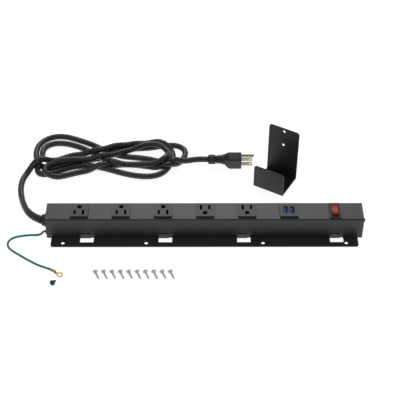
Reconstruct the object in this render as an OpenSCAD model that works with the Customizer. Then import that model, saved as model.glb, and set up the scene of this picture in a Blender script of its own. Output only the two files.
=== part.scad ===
// Surface-mount power strip: folded steel body with mounting flanges, five
// grounded outlets, a twin USB charger, a lit rocker switch, a moulded lead
// and the loose fixing kit that lies beside it.
// X runs along the body towards the switch, Y towards the rear, Z up.
// The origin is the middle of the body's footprint, on the mounting surface.

/* [Body] */
// Length of the steel body over its end caps
body_len = 482; // [476:1:580]
// Depth of the body, front wall to rear wall
body_dep = 38.1; // [36:0.1:46]
// Height of the body above the mounting surface
body_ht = 38.1; // [36:0.1:46]
// Thickness of the sheet steel
sheet = 1.2; // [1:0.1:1.5]
// Outside radius of the bends along the top edges
bend_r = 2.2; // [1.8:0.1:4]

/* [Mounting flanges] */
// Depth of each flange, measured out from the body wall
flange_dep = 20; // [18:0.5:26]
// How far the flanges stop short of the body at each end
flange_inset = 7; // [4:0.5:15]
// Corner radius of the flanges
flange_corner_r = 4; // [2:0.5:8]
// Diameter of the screw holes in the flanges
hole_d = 5.5; // [4.5:0.1:6.5]
// Distance from the flange's outer edge to a screw hole's centre
hole_edge = 7.6; // [6:0.1:9]
// Distance of the inner screw holes from mid length
inner_hole_x = 88.8; // [78:0.1:100]
// Distance of the outer screw holes from mid length
outer_hole_x = 215.6; // [214.5:0.1:225]
// Length of a rectangular flange slot
slot_len = 20.6; // [18:0.1:22]
// Width of a rectangular flange slot, measured out from the body wall
slot_wid = 10.8; // [9:0.1:11.5]
// Spacing of the first three slots
slot_pitch = 119.7; // [115:0.1:125]
// Distance of the last slot from mid length, beside the switch
end_slot_x = 201.5; // [195:0.1:202]
// Length of the tab that is folded up out of a slot
tab_len = 15.5; // [10:0.5:17]
// Height of the folded tab above the mounting surface
tab_ht = 8.6; // [6:0.1:12]

/* [Outlets] */
// Position of the first outlet's centre
first_outlet_x = -190.4; // [-196:0.1:-186]
// Spacing of the outlets and of the charger after them
outlet_pitch = 63.7; // [56:0.1:64.5]
// Width of an outlet's face along the body
outlet_w = 27.5; // [26:0.1:34]
// Depth of an outlet's face across the body
outlet_d = 28; // [27.5:0.1:33.6]
// How far a face stands above the top of the body
outlet_rise = 3.2; // [2:0.1:4]
// Height of an outlet's body below the top of the strip
outlet_depth = 22; // [21:0.5:24]

/* [Switch] */
// Position of the switch's centre
switch_x = 198; // [193:0.1:205]
// Width of the switch's bezel along the body
switch_w = 17; // [16:0.1:19]
// Length of the switch's bezel across the body
switch_l = 32; // [31:0.1:34]
// Angle that the rocker turns through
rocker_throw = 18; // [14:1:20]

/* [Power lead] */
// Outside diameter of the power lead's jacket
cord_d = 10; // [8.5:0.1:10.5]
// Outside diameter of the ground wire's insulation
ground_wire_d = 3.4; // [2.8:0.1:3.6]

/* [Wall bracket] */
// Width of the bracket
bracket_w = 52.4; // [40:0.1:60]
// Outside depth of the bracket's hook
bracket_dep = 49.3; // [45:0.1:56]
// Height of the bracket's back plate
bracket_ht = 93.8; // [80:0.1:110]
// Height of the bracket's front lip
bracket_lip = 42.2; // [25:0.1:45]
// Turn of the bracket about its front corner
bracket_turn = -29.9; // [-35:0.1:-20]
// Diameter of the bracket's screw holes
bracket_hole_d = 5; // [4.4:0.1:6]

/* [Screws] */
// Diameter of a mounting screw's shank
screw_d = 4; // [3.5:0.1:4.4]
// Diameter of a mounting screw's head
screw_head_d = 8.3; // [7.5:0.1:9]
// Length of a mounting screw below its head
screw_len = 14.5; // [12:0.5:18]
// Spacing of the loose screws
screw_pitch = 12.35; // [11:0.05:14]

/* [Hidden] */
$fn = 48;

// Clearances
fit = 0.2;         // between a snapped-in part and its opening
seat = 0.3;        // between parts that lie against each other loosely
turn_fit = 0.06;   // radial, round a turning trunnion
thread_fit = 0.05; // radial, round a screw's thread

// Body, worked out from the sheet
cover_len = body_len - 2 * sheet;
cover_x = cover_len / 2;
wall_y = body_dep / 2;
inner_y = wall_y - sheet;
top_z = body_ht;
ceiling_z = top_z - sheet;
flange_y = wall_y + flange_dep;
flange_len = body_len - 2 * flange_inset;
hole_y = flange_y - hole_edge;
slot_x = [-1.5 * slot_pitch, -0.5 * slot_pitch, 0.5 * slot_pitch, end_slot_x];
hole_x = [-outer_hole_x, -inner_hole_x, inner_hole_x, outer_hole_x];

// Ears that the end caps screw to, and their pan-head screws
ear_w = 8;
ear_ht = 7;
ear_y = 12.6;
ear_low_z = 7.5;
ear_high_z = top_z - 7;
cap_screw_r = 1.45;
cap_head_r = 3.1;
cap_head_t = 2.1;

// Outlets
skirt_w = outlet_w - 3;
skirt_d = outlet_d - 3;
skirt_ht = 12;
case_wall = 1.5;
blade_gap = 12.7;
ground_gap = 11.9;
blade_y = -5.3;
slot_t = 2.5;
line_slot = 7.6;
neutral_slot = 9.2;
ground_hole_d = 6.4;
outlet_floor_z = top_z - outlet_depth;
latch_ht = 2.4;
latch_out = 0.7;

// Bus bars run under the outlets, one above another's reach
bus_w = 5;
bus_t = 1;
bus_z = outlet_floor_z - 5;
line_bus_y = -8.6;
neutral_bus_y = 0;
ground_bus_y = 8.6;
bus_start = first_outlet_x - 12;
holder_w = 6;
strap_z = outlet_floor_z + case_wall + seat;
strap_t = 0.8;
leaf_t = 0.5;
leaf_gap = 1.7;
leaf_ht = 13;

// Charger
usb_x = first_outlet_x + 5 * outlet_pitch;
port_x = [-4.85, 4.85];
shell_w = 5.7;
shell_l = 13.1;
shell_t = 0.35;
shell_len = 12;
tongue_t = 1.9;
tongue_l = 11.2;
usb_top_z = top_z + outlet_rise;
board_z = top_z - 15.5;
board_t = 1.6;
usb_lead_x = 1.7;
usb_lead_r = 0.8;

// Switch
bezel_rise = 2;
housing_w = 13.4;
housing_l = 28.4;
housing_depth = 24;
housing_wall = 1;
rocker_w = 11;
rocker_half_l = 12.2;
rocker_well_l = 26;
pivot_z = top_z - 0.5;
trunnion_r = 1.5;
trunnion_reach = 6.3;
plunger_r = 1.4;
plunger_tip = 12.1;
lever_axis = 13.5;
lever_half_l = 8;
lever_w = 5;
lever_t = 0.8;
lever_lift = 0.3;
lever_rest = 7;
housing_floor_z = top_z - housing_depth;
knife_z = pivot_z - lever_axis;
pad_z = knife_z - 1.8;
spade_z = housing_floor_z - 6.5;
spade_w = 4.8;
spade_t = 0.8;
contact_y = lever_half_l - 1;

// Strain relief, on the middle of the left end
gland_z = 19.5;
gland_r = 10.7;
gland_step_r = 8.8;
gland_out = 7.6;
gland_thread_r = 8;
nut_r = 10;
nut_t = 4;
gland_face_x = -body_len / 2 - gland_out;
gland_disc = 3.4;

// Wiring behind the strain relief
core_r = 1.5;
core_x = -cover_x + 11;
bus_gap = 13;
floor_lead_y = -inner_y + core_r + 0.8;
floor_lead_z = sheet + core_r + 0.2;
stud_x = -cover_x + 26;
stud_y = 8;
stud_r = 2;
nut_ht = 1.6;
eyelet_z = sheet + nut_ht;

// Ground wire's exit, low on the left end
wire_exit_y = -12.6;
wire_exit_z = 8;
wire_hole_r = 3.4;
wire_bush_r = 4.4;

// The lead and the ground wire are centre points measured from the left end
// of the body. The first two of the sleeve leave the strain relief square.
sleeve_points = [[-gland_out, 0, gland_z], [-gland_out - 2.4, 0, gland_z], [-15, 3, 19.3], [-20, 8, 18.6],
    [-25, 14, 17.4], [-29, 20, 16]];
lead_points = [[-29, 20, 16], [-35, 29, 13.9], [-40, 42, 10.8], [-44.5, 56, 7.8], [-48, 69, 6],
    [-50.5, 82, 5.2], [-51, 94, 5.2], [-49.6, 104, 5.8], [-46, 114, 6.6], [-40, 123, 8.8],
    [-32, 131.5, 11.4], [-24, 138, 13.4]];
plug_x = 248;
plug_axis_y = 147.8;
plug_axis_z = 14;
plug_lead_points = [[172, 145, 9], [186, 149.5, 8], [198, 152.5, 7], [209, 153.4, 6.8], [219, 152, 7.8],
    [229, 149.8, 10], [238, plug_axis_y + 0.3, 13.2], [244, plug_axis_y, plug_axis_z],
    [plug_x, plug_axis_y, plug_axis_z]];
hank_ht = 24;
hank_facets = 32;

// Crimped ring terminal
ring_x = 26.4;
ring_y = -96.4;
ring_turn = -32;
ring_r = 5;
ring_hole_r = 3;
ring_t = 0.8;
barrel_r = 2.3;
barrel_len = 7.5;
barrel_start = ring_r + 3;
crimp_way = [cos(ring_turn), sin(ring_turn), 0];
crimp = [ring_x, ring_y, barrel_r] - (barrel_start + barrel_len) * crimp_way;

// Ground wire, from its bush to the crimped terminal
bush_out = 1.4;
ground_points = [[-bush_out, wire_exit_y, wire_exit_z], [-bush_out - 1.6, wire_exit_y, wire_exit_z],
    [-6, -13, 6.6], [-9, -13.8, 3.8], [-13, -14.4, 2], [-20, -14.8, 1.8], [-29, -15.2, 1.8], [-38, -16.6, 1.8],
    [-47, -19, 1.8], [-54, -23.4, 1.8], [-57.6, -30, 1.8], [-57.4, -37, 1.8], [-53.6, -44, 1.8],
    [-46, -51, 1.8], [-34, -60, 1.8], [-21, -69.4, 1.8], [-9, -77, 1.8], [3, -83, 1.9],
    crimp - 2.5 * crimp_way, crimp];

// Moulded plug, round its own axis
collar_r = 7.9;
collar_len = 12;
neck_r = 6.8;
neck_len = 14;
flare_len = 10;
plug_len = 18;
plug_half_w = 11.3;
plug_half_t = 12.2;
plug_roll = 13;
plug_face_x = plug_x + collar_len + neck_len + flare_len + plug_len;
blade_w = 6.35;
blade_t = 1.5;
blade_len = 17.9;
blade_hole_r = 1.6;
blade_offset = -4.2;
pin_r = 2.38;
pin_len = 21.4;

// Loose kit
bracket_x = 79.4;
bracket_y = 100.4;
bracket_t = 1.5;
bracket_corner_r = 5;
bracket_hole_z = [60.5, 87.5];
screw_row_x = -162;
screw_row_y = -94.5;
screw_turn = -65;
screw_head_t = 2.6;
ground_screw_x = 18;
ground_screw_y = -115.5;
ground_screw_turn = 62;
ground_screw_len = 9;
ground_screw_head_d = 8.4;

// Colours
black_steel = "#2a2b2c";
black_plastic = "#1c1d1e";
brass = "#c9a24a";
zinc = "#b9bcc0";
green = "#1f6b52";
red = "#c8322f";
white_plastic = "#e6e4dc";

// ---------------------------------------------------------------- helpers

// Extrudes a YZ outline from x0 to x1
module along_x(x0, x1) {
    translate([x0, 0, 0]) rotate([90, 0, 90]) linear_extrude(x1 - x0) children();
}

// Cylinder along X from x0 to x1
module rod_x(x0, x1, r) {
    translate([x0, 0, 0]) rotate([0, 90, 0]) cylinder(h = x1 - x0, r = r);
}

// Rectangle with round corners, centred
module round_rect(w, d, r) {
    square([w - 2 * r, d], center = true);
    square([w, d - 2 * r], center = true);
    for (sx = [-1, 1], sy = [-1, 1]) {
        translate([sx * (w / 2 - r), sy * (d / 2 - r)]) circle(r);
    }
}

// Box centred on X and Y, from z0 to z1
module block(w, d, z0, z1) {
    translate([-w / 2, -d / 2, z0]) cube([w, d, z1 - z0]);
}

// Upright outline with round upper corners, standing on z0
module channel_outline(w, z0, z1, r) {
    translate([-w / 2, z0]) square([w, z1 - r - z0]);
    translate([-w / 2 + r, z0]) square([w - 2 * r, z1 - z0]);
    for (s = [-1, 1]) translate([s * (w / 2 - r), z1 - r]) circle(r);
}

function unit(v) = v / norm(v);
function heading(points, i) = unit(points[min(i + 1, len(points) - 1)] - points[max(i - 1, 0)]);
function side(t, ref) = unit(cross(ref, t));
function ring(p, t, r, sides, ref) = [for (k = [0:sides - 1])
    p + r * (cos(360 * k / sides) * side(t, ref) + sin(360 * k / sides) * cross(t, side(t, ref)))];

// Closed tube swept along points; its radius goes evenly from r0 to r1.
// No stretch of it may run along ref, which keeps the rings from twisting.
module swept_tube(points, r0, r1, sides, ref = [0, 0, 1]) {
    n = len(points);
    rings = [for (i = [0:n - 1])
        each ring(points[i], heading(points, i), r0 + (r1 - r0) * i / (n - 1), sides, ref)];
    walls = [for (i = [0:n - 2], k = [0:sides - 1])
        [i * sides + k, (i + 1) * sides + k, (i + 1) * sides + (k + 1) % sides, i * sides + (k + 1) % sides]];
    first = [for (k = [0:sides - 1]) k];
    last = [for (k = [sides - 1:-1:0]) (n - 1) * sides + k];
    polyhedron(points = rings, faces = concat(walls, [first, last]));
}

// Insulated core inside the body
module wire(points, r) {
    swept_tube(points, r, r, 8, ref = [0, 1, 1]);
}

// ------------------------------------------------------------- steel body

// Opening punched in the top for a part whose body measures w by d
module punch(x, w, d) {
    translate([x, 0, 0]) block(w + 2 * fit, d + 2 * fit, ceiling_z - 1, top_z + 1);
}

// Moves a part that lies beside the body to the body's left end
module at_left_end() {
    translate([-body_len / 2, 0, 0]) children();
}

// Folded ear with the hole for an end cap's screw
module cap_ear(s, y, z0, z1) {
    inner = s * cover_x - (s > 0 ? sheet : 0);
    hole_z = z0 < ceiling_z / 2 ? ear_low_z : ear_high_z;
    difference() {
        translate([inner, y - ear_w / 2, z0]) cube([sheet, ear_w, z1 - z0]);
        translate([0, y, hole_z]) rod_x(inner - 1, inner + sheet + 1, cap_screw_r + thread_fit);
    }
}

// Folded channel: top, front wall and rear wall, with the punched openings
module cover() color(black_steel) {
    difference() {
        along_x(-cover_x, cover_x) difference() {
            channel_outline(body_dep, sheet, top_z, bend_r);
            channel_outline(body_dep - 2 * sheet, 0, ceiling_z, bend_r - sheet);
        }
        for (i = [0:4]) punch(first_outlet_x + i * outlet_pitch, skirt_w, skirt_d);
        punch(usb_x, skirt_w, skirt_d);
        punch(switch_x, housing_w, housing_l);
    }
    for (s = [-1, 1]) cap_ear(s, -ear_y, ear_high_z - ear_ht / 2, ceiling_z);
}

// Tab lanced out of a slot and folded up against the outside of the wall
module tab(x, s) {
    low = min(s * wall_y, s * (wall_y + sheet));
    translate([x - slot_len / 2 + fit, low, 0]) cube([tab_len, sheet, tab_ht]);
}

// Floor of the body, with both mounting flanges in one piece
module base_plate() color(black_steel) {
    difference() {
        union() {
            block(2 * cover_x, body_dep, 0, sheet);
            linear_extrude(sheet) round_rect(flange_len, 2 * flange_y, flange_corner_r);
        }
        for (x = hole_x, s = [-1, 1]) translate([x, s * hole_y, -1]) cylinder(h = sheet + 2, d = hole_d);
        for (x = slot_x, s = [-1, 1]) {
            translate([x, s * (wall_y + slot_wid / 2), 0]) block(slot_len, slot_wid, -1, sheet + 1);
        }
    }
    for (x = slot_x, s = [-1, 1]) tab(x, s);
    for (s = [-1, 1]) cap_ear(s, ear_y, sheet, ear_low_z + ear_ht / 2);
}

module cap_blank(s) {
    x0 = s > 0 ? cover_x : -cover_x - sheet;
    difference() {
        along_x(x0, x0 + sheet) channel_outline(body_dep, 0, top_z, bend_r);
        for (p = [[ear_y, ear_low_z], [-ear_y, ear_high_z]]) translate([0, p[0], p[1]])
            rod_x(x0 - 1, x0 + sheet + 1, cap_screw_r + thread_fit);
    }
}

module end_cap_left() color(black_steel) difference() {
    cap_blank(-1);
    translate([0, 0, gland_z]) rod_x(-body_len, -cover_x + 1, gland_thread_r + fit);
    translate([0, wire_exit_y, wire_exit_z]) rod_x(-body_len, -cover_x + 1, wire_hole_r + thread_fit);
}

module end_cap_right() color(black_steel) cap_blank(1);

// Pan-head screws that hold the caps
module cap_screws() color("#3a3b3d") {
    for (s = [-1, 1], p = [[ear_y, ear_low_z], [-ear_y, ear_high_z]]) {
        translate([s * (cover_x + sheet), p[0], p[1]]) rotate([0, -s * 90, 0]) {
            translate([0, 0, -cap_head_t]) cylinder(h = cap_head_t, r1 = cap_head_r - 0.7, r2 = cap_head_r);
            cylinder(h = 5, r = cap_screw_r);
        }
    }
}

// ---------------------------------------------------------------- outlets

// Moves and turns an outlet's parts: the first three have their ground at
// the rear, and the last two at the front
module at_outlet(i) {
    translate([first_outlet_x + (i - 1) * outlet_pitch, 0, 0]) rotate([0, 0, i > 3 ? 180 : 0]) children();
}

// Snap-in shell: face on top of the steel, skirt and two latches below it
module snap_shell() {
    difference() {
        union() {
            translate([0, 0, top_z]) linear_extrude(outlet_rise) round_rect(outlet_w, outlet_d, 1.2);
            block(skirt_w, skirt_d, top_z - skirt_ht, top_z);
            for (s = [-1, 1]) translate([s * skirt_w / 2, 0, ceiling_z - fit - latch_ht])
                block(2 * latch_out, 8, 0, latch_ht);
        }
        block(skirt_w - 2 * case_wall, skirt_d - 2 * case_wall, top_z - skirt_ht - 1, top_z);
    }
}

module outlet(i) color(black_plastic) at_outlet(i) difference() {
    snap_shell();
    translate([-blade_gap / 2, blade_y, 0]) block(slot_t, line_slot, top_z - 1, top_z + outlet_rise + 1);
    translate([blade_gap / 2, blade_y, 0]) block(slot_t, neutral_slot, top_z - 1, top_z + outlet_rise + 1);
    translate([0, blade_y + ground_gap, top_z - 1]) cylinder(h = outlet_rise + 2, d = ground_hole_d);
}

// Cup that closes the outlet from below and holds its contacts
module outlet_back(i) color("#2d2e30") {
    x = first_outlet_x + (i - 1) * outlet_pitch;
    flip = i > 3 ? -1 : 1;
    difference() {
        translate([x, 0, 0]) block(skirt_w, skirt_d, outlet_floor_z, top_z - skirt_ht);
        translate([x, 0, 0]) block(skirt_w - 2 * case_wall, skirt_d - 2 * case_wall,
            outlet_floor_z + case_wall, top_z);
        reach = flip * blade_gap / 2;
        for (t = [[-reach, line_bus_y], [reach, neutral_bus_y], [0, ground_bus_y]]) {
            translate([x + t[0], t[1], 0]) block(bus_w, strap_t + 2 * seat, outlet_floor_z - 1, strap_z);
        }
    }
}

// Strap from a contact to the tail that drops on to its bus bar
module strap(x, from_y, to_y) {
    low = min(from_y, to_y) - strap_t / 2;
    high = max(from_y, to_y) + strap_t / 2;
    translate([x - 2, low, strap_z]) cube([4, high - low, strap_t]);
    translate([x - 2, to_y - strap_t / 2, bus_z + bus_t]) cube([4, strap_t, strap_z - bus_z - bus_t]);
}

// Two leaves that grip a flat blade
module blade_contact(x, y, bus_y) {
    for (s = [-1, 1]) translate([x + s * (leaf_gap + leaf_t) / 2, y, 0])
        block(leaf_t, 6, strap_z + strap_t, strap_z + strap_t + leaf_ht);
    strap(x, y, bus_y);
}

function outlet_x(i) = first_outlet_x + (i - 1) * outlet_pitch;
function outlet_flip(i) = i > 3 ? -1 : 1;

module line_contacts() color(brass) for (i = [1:5]) {
    blade_contact(outlet_x(i) - outlet_flip(i) * blade_gap / 2, outlet_flip(i) * blade_y, line_bus_y);
}

module neutral_contacts() color(brass) for (i = [1:5]) {
    blade_contact(outlet_x(i) + outlet_flip(i) * blade_gap / 2, outlet_flip(i) * blade_y, neutral_bus_y);
}

// Sprung sleeves that grip the round ground pin
module ground_contacts() color(brass) for (i = [1:5]) {
    y = outlet_flip(i) * (blade_y + ground_gap);
    difference() {
        translate([outlet_x(i), y, strap_z + strap_t]) cylinder(h = leaf_ht, r = pin_r + leaf_t + 0.1);
        translate([outlet_x(i), y, strap_z + strap_t - 1]) cylinder(h = leaf_ht + 2, r = pin_r + 0.1);
    }
    strap(outlet_x(i), y, ground_bus_y);
}

module bus(y, x1) color(brass) {
    translate([bus_start, y - bus_w / 2, bus_z]) cube([x1 - bus_start, bus_w, bus_t]);
}

module line_bus() bus(line_bus_y, switch_x - bus_gap);
module neutral_bus() bus(neutral_bus_y, switch_x - bus_gap);
module ground_bus() bus(ground_bus_y, usb_x + 12);

// Insulating combs on the floor that carry the three bars between outlets
module bus_holders() color(white_plastic) for (i = [0:4]) {
    x = first_outlet_x + (i + 0.5) * outlet_pitch;
    translate([x, 0, 0]) difference() {
        block(holder_w, 2 * inner_y - 2 * seat, sheet, bus_z + bus_t + 2);
        translate([0, floor_lead_y, 0]) block(holder_w + 2, 2 * core_r + 2, 0, floor_lead_z + core_r + 1);
        for (y = [line_bus_y, neutral_bus_y, ground_bus_y]) {
            translate([0, y, 0]) block(holder_w + 2, bus_w, bus_z, bus_z + bus_t + 3);
        }
    }
}

// ---------------------------------------------------------------- charger

module usb_bezel() color(black_plastic) translate([usb_x, 0, 0]) difference() {
    snap_shell();
    for (x = port_x) translate([x, 0, 0]) block(shell_w, shell_l, top_z - 1, usb_top_z + 1);
}

module usb_back() color("#2d2e30") translate([usb_x, 0, 0]) difference() {
    block(skirt_w, skirt_d, outlet_floor_z, top_z - skirt_ht);
    for (y = [line_bus_y, neutral_bus_y]) translate([usb_lead_x, y, 0]) {
        cylinder(h = top_z, r = usb_lead_r + fit);
    }
    difference() {
        block(skirt_w - 2 * case_wall, skirt_d - 2 * case_wall, outlet_floor_z + case_wall, top_z);
        for (s = [-1, 1]) translate([s * (skirt_w / 2 - case_wall - 1), 0, 0])
            block(2, skirt_d, outlet_floor_z, board_z);
    }
}

// Pressed steel shells of the two ports
module usb_shells() color(zinc) for (x = port_x) translate([usb_x + x, 0, 0]) difference() {
    block(shell_w, shell_l, usb_top_z - shell_len, usb_top_z);
    block(shell_w - 2 * shell_t, shell_l - 2 * shell_t, usb_top_z - shell_len - 1, usb_top_z + 1);
}

module usb_tongues() color("#1f4f86") for (x = port_x) {
    translate([usb_x + x - shell_w / 2 + shell_t + 0.6, -tongue_l / 2, board_z + board_t])
        cube([tongue_t, tongue_l, usb_top_z - 1.2 - board_z - board_t]);
}

module usb_board() color("#2f6b3a") translate([usb_x, 0, 0])
    block(skirt_w - 2 * case_wall - 2 * fit, skirt_d - 2 * case_wall - 2 * fit, board_z, board_z + board_t);

module usb_transformer() color("#d9c24a") translate([usb_x - 4, -3.5, 0]) {
    block(8, 10, board_z - 4.6, board_z);
}

module usb_capacitors() color("#3b3f52") translate([usb_x, 0, 0]) {
    for (y = [-6, 0, 6]) translate([6, y, board_z - 4.8]) cylinder(h = 4.8, r = 2.4);
    translate([-5, 7, board_z - 4.4]) cylinder(h = 4.4, r = 2.2);
}

// Posts that feed the board from the line and neutral bars
module usb_leads() color(brass) for (y = [line_bus_y, neutral_bus_y]) {
    translate([usb_x + usb_lead_x, y, bus_z + bus_t]) cylinder(h = board_z - bus_z - bus_t, r = usb_lead_r);
}

// ----------------------------------------------------------------- switch

module at_switch() {
    translate([switch_x, 0, 0]) children();
}

// Case: bezel on the steel, body below it, floor slots for the terminals
module switch_housing() color(black_plastic) at_switch() {
    well_w = rocker_w + 2 * fit;
    difference() {
        union() {
            translate([0, 0, top_z]) linear_extrude(bezel_rise) round_rect(switch_w, switch_l, 1.5);
            block(housing_w, housing_l, housing_floor_z, top_z);
            for (s = [-1, 1]) translate([0, s * housing_l / 2, ceiling_z - fit - latch_ht])
                block(8, 2 * latch_out, 0, latch_ht);
        }
        block(well_w, rocker_well_l, housing_floor_z + case_wall, top_z + bezel_rise + 1);
        translate([0, 0, pivot_z]) rod_x(-housing_w / 2 - 1, housing_w / 2 + 1, trunnion_r + turn_fit);
        for (y = [-contact_y, 0, contact_y]) translate([0, y, 0])
            block(spade_w + 2 * thread_fit, spade_t + 2 * thread_fit, housing_floor_z - 1, housing_floor_z + 3);
    }
}

// Rocker outline about its pivot, level, with a shallow valley on top
module rocker_outline() {
    l = rocker_half_l;
    polygon([[-l, 5.2], [-l + 1.6, 5.4], [0, 2.5], [l - 1.6, 5.4], [l, 5.2],
        [l - 0.4, -1.5], [4.5, -3.4], [-4.5, -3.4], [-l + 0.4, -1.5]]);
}

// Parts that ride on the rocker, tipped back by half the throw at rest
module on_rocker() {
    at_switch() translate([0, 0, pivot_z]) rotate([-rocker_throw / 2, 0, 0]) children();
}

module rocker() color(red) on_rocker() difference() {
    union() {
        along_x(-rocker_w / 2, rocker_w / 2) rocker_outline();
        block(6, 6, -plunger_tip + 3.6, -3);
        rod_x(-trunnion_reach, trunnion_reach, trunnion_r);
    }
    translate([0, 0, -plunger_tip]) cylinder(h = plunger_tip - 2.2, r = plunger_r + turn_fit + 0.1);
}

// Coil spring behind the plunger, as its closed outer sleeve
module rocker_spring() color(zinc) on_rocker() difference() {
    translate([0, 0, -plunger_tip + 4.9]) cylinder(h = plunger_tip - 7.2, r = plunger_r);
    translate([0, 0, -plunger_tip]) cylinder(h = plunger_tip, r = plunger_r - 0.4);
}

module rocker_plunger() color(white_plastic) on_rocker() {
    translate([0, 0, -plunger_tip + plunger_r]) cylinder(h = 4.8 - plunger_r, r = plunger_r);
    translate([0, 0, -plunger_tip + plunger_r]) sphere(plunger_r);
}

// See-saw bar that makes and breaks the line; its front end is down at rest
module contact_lever() color("#b87333") at_switch() translate([0, 0, knife_z])
    rotate([lever_rest, 0, 0]) {
        block(lever_w, 2 * lever_half_l, lever_lift, lever_lift + lever_t);
        for (s = [-1, 1]) translate([0, s * contact_y, lever_lift - 0.2]) cylinder(h = 0.3, r = 1.4);
    }

// Knife-edge common terminal and the two end terminals
module switch_terminals() color(brass) at_switch() {
    block(spade_w, spade_t, spade_z, knife_z);
    for (s = [-1, 1]) translate([0, s * contact_y, 0]) {
        block(spade_w, spade_t, spade_z, pad_z);
        block(spade_w, 3, pad_z, pad_z + 0.5);
    }
}

// Jumpers from the ends of the line and neutral bars to the end terminals
module switch_leads() color("#161616") {
    x = switch_x - bus_gap;
    z = bus_z + bus_t / 2;
    for (p = [[line_bus_y, -contact_y], [neutral_bus_y, contact_y]]) {
        wire([[x, p[0], z], [x + 2.5, p[0], z], [x + 6, p[0] + (p[1] - p[0]) / 3, z - 3],
            [switch_x - 3, p[1], spade_z - 3.4], [switch_x - 0.6, p[1], spade_z - 2.8],
            [switch_x, p[1], spade_z - 1.4], [switch_x, p[1], spade_z]], core_r);
    }
}

// Small lamp that lights the rocker from below
module neon_lamp() color("#e8a45c") at_switch() {
    translate([0, -rocker_well_l / 2 + 2.4, housing_floor_z + case_wall]) {
        cylinder(h = 7, r = 1.8);
        translate([0, 0, 7]) sphere(1.8);
    }
}

// ------------------------------------------------- strain relief and leads

module gland() color(black_plastic) translate([0, 0, gland_z]) difference() {
    union() {
        rod_x(-body_len / 2 - gland_disc, -body_len / 2, gland_r);
        translate([-body_len / 2 - gland_disc, 0, 0]) rotate([0, -90, 0])
            cylinder(h = gland_out - gland_disc, r1 = gland_r - 0.6, r2 = gland_step_r);
        rod_x(-body_len / 2, -cover_x + 8, gland_thread_r);
    }
    rod_x(-body_len / 2 - 3, -cover_x + 9, cord_d / 2 + thread_fit);
}

module gland_nut() color(black_plastic) translate([0, 0, gland_z]) difference() {
    translate([-cover_x, 0, 0]) rotate([0, 90, 0]) cylinder(h = nut_t, r = nut_r, $fn = 6);
    rod_x(-cover_x - 1, -cover_x + nut_t + 1, gland_thread_r + thread_fit);
}

// End of the jacket inside the strain relief
module cord_end() color("#202122") translate([0, 0, gland_z])
    rod_x(-body_len / 2 - 2.6, -cover_x + 11, cord_d / 2);

// Line core, along the front of the floor to the switch's middle terminal
module line_lead() color("#161616") {
    y = floor_lead_y;
    z = floor_lead_z;
    wire([[core_x, -2, gland_z], [core_x + 2, -2, gland_z], [core_x + 6, -4, gland_z - 3],
        [core_x + 11, -11, z + 4], [core_x + 15, y + 1, z + 1], [core_x + 20, y, z],
        [switch_x - 14, y, z], [switch_x - 10, y + 3, z],
        [switch_x - 8.6, -4, z], [switch_x - 5, -0.6, z], [switch_x - 0.8, 0, z + 0.6],
        [switch_x, 0, z + 2.6], [switch_x, 0, spade_z]], core_r);
}

// Neutral core, down to the start of its bus bar
module neutral_lead() color("#e9e9e4") {
    z = bus_z + bus_t / 2;
    wire([[core_x, 2, gland_z], [core_x + 2, 2, gland_z], [core_x + 8, 2, gland_z - 2],
        [bus_start - 8, 0.6, z + 1], [bus_start - 3, neutral_bus_y, z], [bus_start, neutral_bus_y, z]], core_r);
}

// Green conductors from the lead, the ground bar and the outside wire, which
// share one eyelet on the stud
module ground_lead() color(green) {
    z = eyelet_z + core_r;
    bar_z = bus_z + bus_t / 2;
    translate([stud_x, stud_y, eyelet_z]) difference() {
        cylinder(h = 1.6, r = 4);
        translate([0, 0, -1]) cylinder(h = 4, r = stud_r + thread_fit);
    }
    wire([[core_x, 0, gland_z - 3.2], [core_x + 1.5, 0, gland_z - 3.2], [core_x + 4, 2.6, gland_z - 6],
        [stud_x - 9, stud_y - 1, z + 2], [stud_x - 6, stud_y, z], [stud_x - 3.6, stud_y, z]], core_r);
    wire([[stud_x + 3.6, stud_y, z], [stud_x + 5.4, stud_y, z + 0.6],
        [bus_start - 3.4, ground_bus_y, bar_z - 1], [bus_start - 1.4, ground_bus_y, bar_z],
        [bus_start, ground_bus_y, bar_z]], core_r);
    wire([[-body_len / 2 - bush_out, wire_exit_y, wire_exit_z], [core_x - 6, wire_exit_y, wire_exit_z],
        [core_x - 2, wire_exit_y + 2, z + 2], [core_x + 6, -3, z], [stud_x - 2.8, stud_y - 2.8, z]], core_r);
}

// Stud on the floor that every ground conductor is screwed to
module ground_stud() color(zinc) translate([stud_x, stud_y, sheet]) {
    cylinder(h = 6.4, r = stud_r);
    cylinder(h = nut_ht, r = 3.6, $fn = 6);
}

// Soft bush that keeps the ground wire off the steel
module ground_grommet() color("#27332f") translate([0, wire_exit_y, wire_exit_z]) difference() {
    union() {
        rod_x(-body_len / 2 - bush_out, -body_len / 2, wire_bush_r);
        rod_x(-body_len / 2, -cover_x, wire_hole_r);
        rod_x(-cover_x, -cover_x + 1.2, wire_bush_r - 0.4);
    }
    rod_x(-body_len, -cover_x + 3, ground_wire_d / 2 + thread_fit);
}

// Sleeve that keeps the lead from kinking where it leaves the strain relief
module cord_sleeve() color("#202122") at_left_end() {
    swept_tube(sleeve_points, cord_d / 2 + 1.4, cord_d / 2 + 0.2, 12);
}

module power_lead() color("#202122") at_left_end() {
    swept_tube(lead_points, cord_d / 2, cord_d / 2, 10);
}

module plug_lead() color("#202122") at_left_end() {
    swept_tube(plug_lead_points, cord_d / 2, cord_d / 2, 10);
}

module ground_wire() color(green) at_left_end() {
    swept_tube(ground_points, ground_wire_d / 2, ground_wire_d / 2, 8);
}

module post(x, y, r) {
    translate([x, y]) circle(r, $fn = hank_facets);
}

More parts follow.
